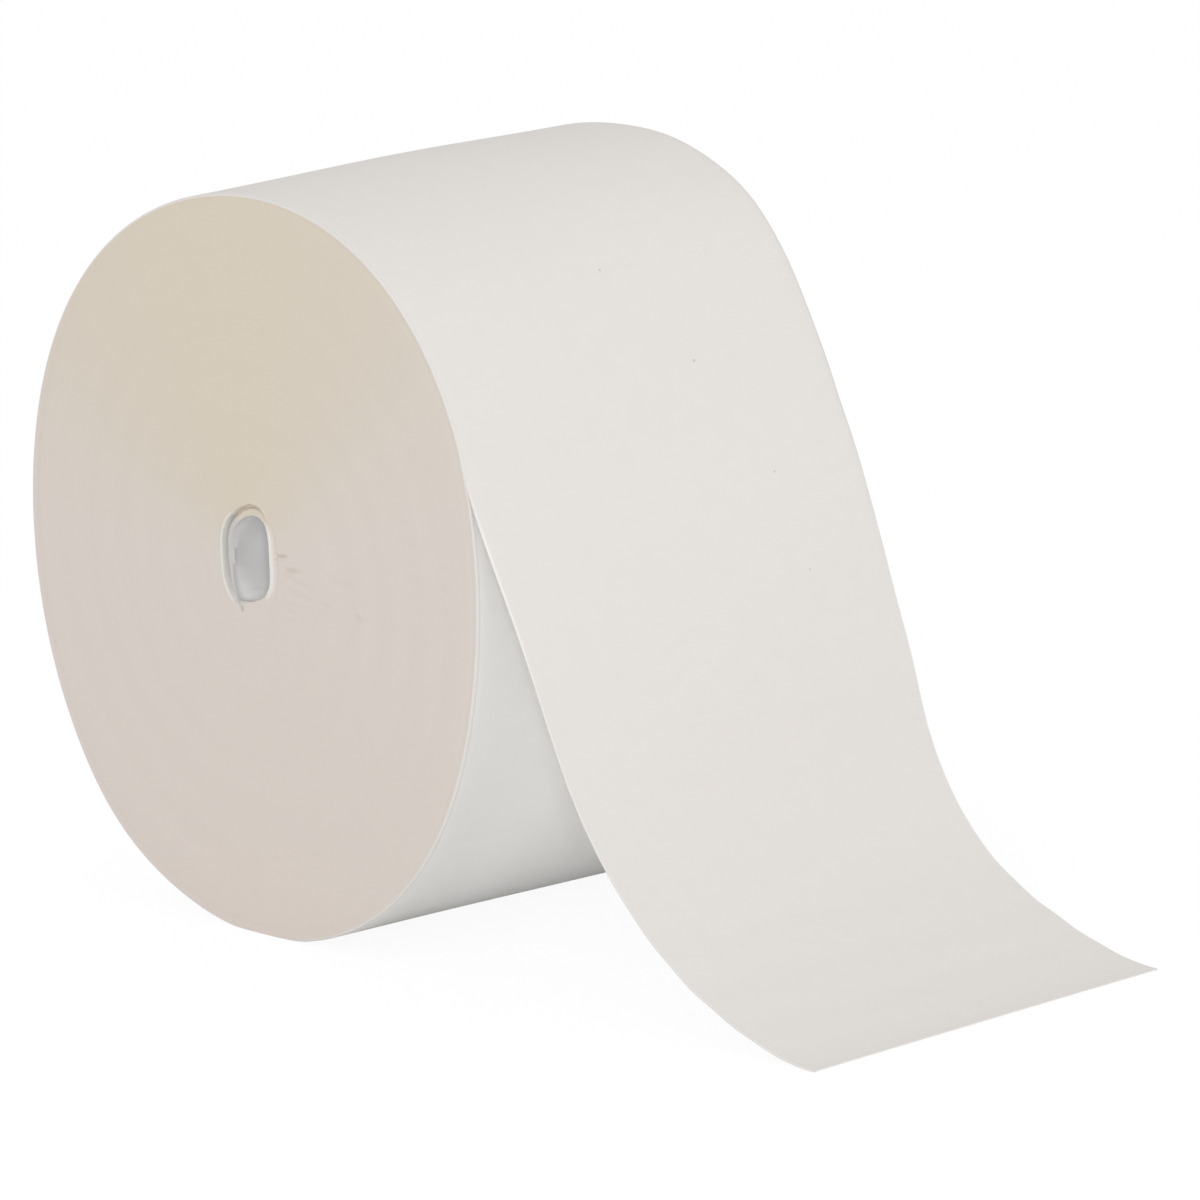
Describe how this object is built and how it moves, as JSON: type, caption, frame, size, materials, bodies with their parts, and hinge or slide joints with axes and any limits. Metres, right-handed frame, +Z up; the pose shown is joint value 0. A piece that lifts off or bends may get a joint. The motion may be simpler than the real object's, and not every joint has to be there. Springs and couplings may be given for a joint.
{
  "type": "toilet paper roll",
  "caption": "Coreless tissue roll on its side, with a spindle hole, spiral turns at both ends, a small flat spot and a loose tail that hangs over the front to the floor.",
  "frame": {"origin": "on the axis of the spindle hole, halfway along the sheet's width", "axes": "+Y along the spindle hole, away from the end with the ledge; +X the way the loose tail runs out; +Z up as the roll lies"},
  "size_m": [0.24, 0.0954, 0.1519],
  "materials": {
    "tissue": "matte"
  },
  "bodies": {
    "root": {"paper_roll": "tissue"}
  },
  "joints": []
}
